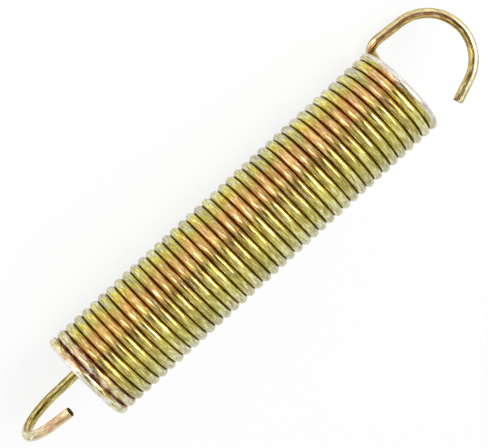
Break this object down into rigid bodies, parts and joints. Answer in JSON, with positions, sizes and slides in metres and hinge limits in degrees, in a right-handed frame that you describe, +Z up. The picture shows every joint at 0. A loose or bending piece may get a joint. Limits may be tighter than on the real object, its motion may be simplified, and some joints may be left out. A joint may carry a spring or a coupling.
{
  "type": "extension spring",
  "caption": "Close wound extension spring of round yellow passivated steel wire, with an open side hook at each end, the two hooks set at about a right angle.",
  "frame": {"origin": "on the floor under the middle of the spring as it lies: the centre of the underside of its bounding box", "axes": "+X along the coil axis from the first hook to the second; each hook's root lies low beside the line on which the coil rests, the first towards -Y and the second towards +Y, and its mouth faces up; +Z up"},
  "size_m": [0.1458, 0.025, 0.025],
  "materials": {
    "spring_wire": "yellow passivated zinc plate, satin to bright"
  },
  "bodies": {
    "root": {"spring_wire": "spring_wire"}
  },
  "joints": []
}
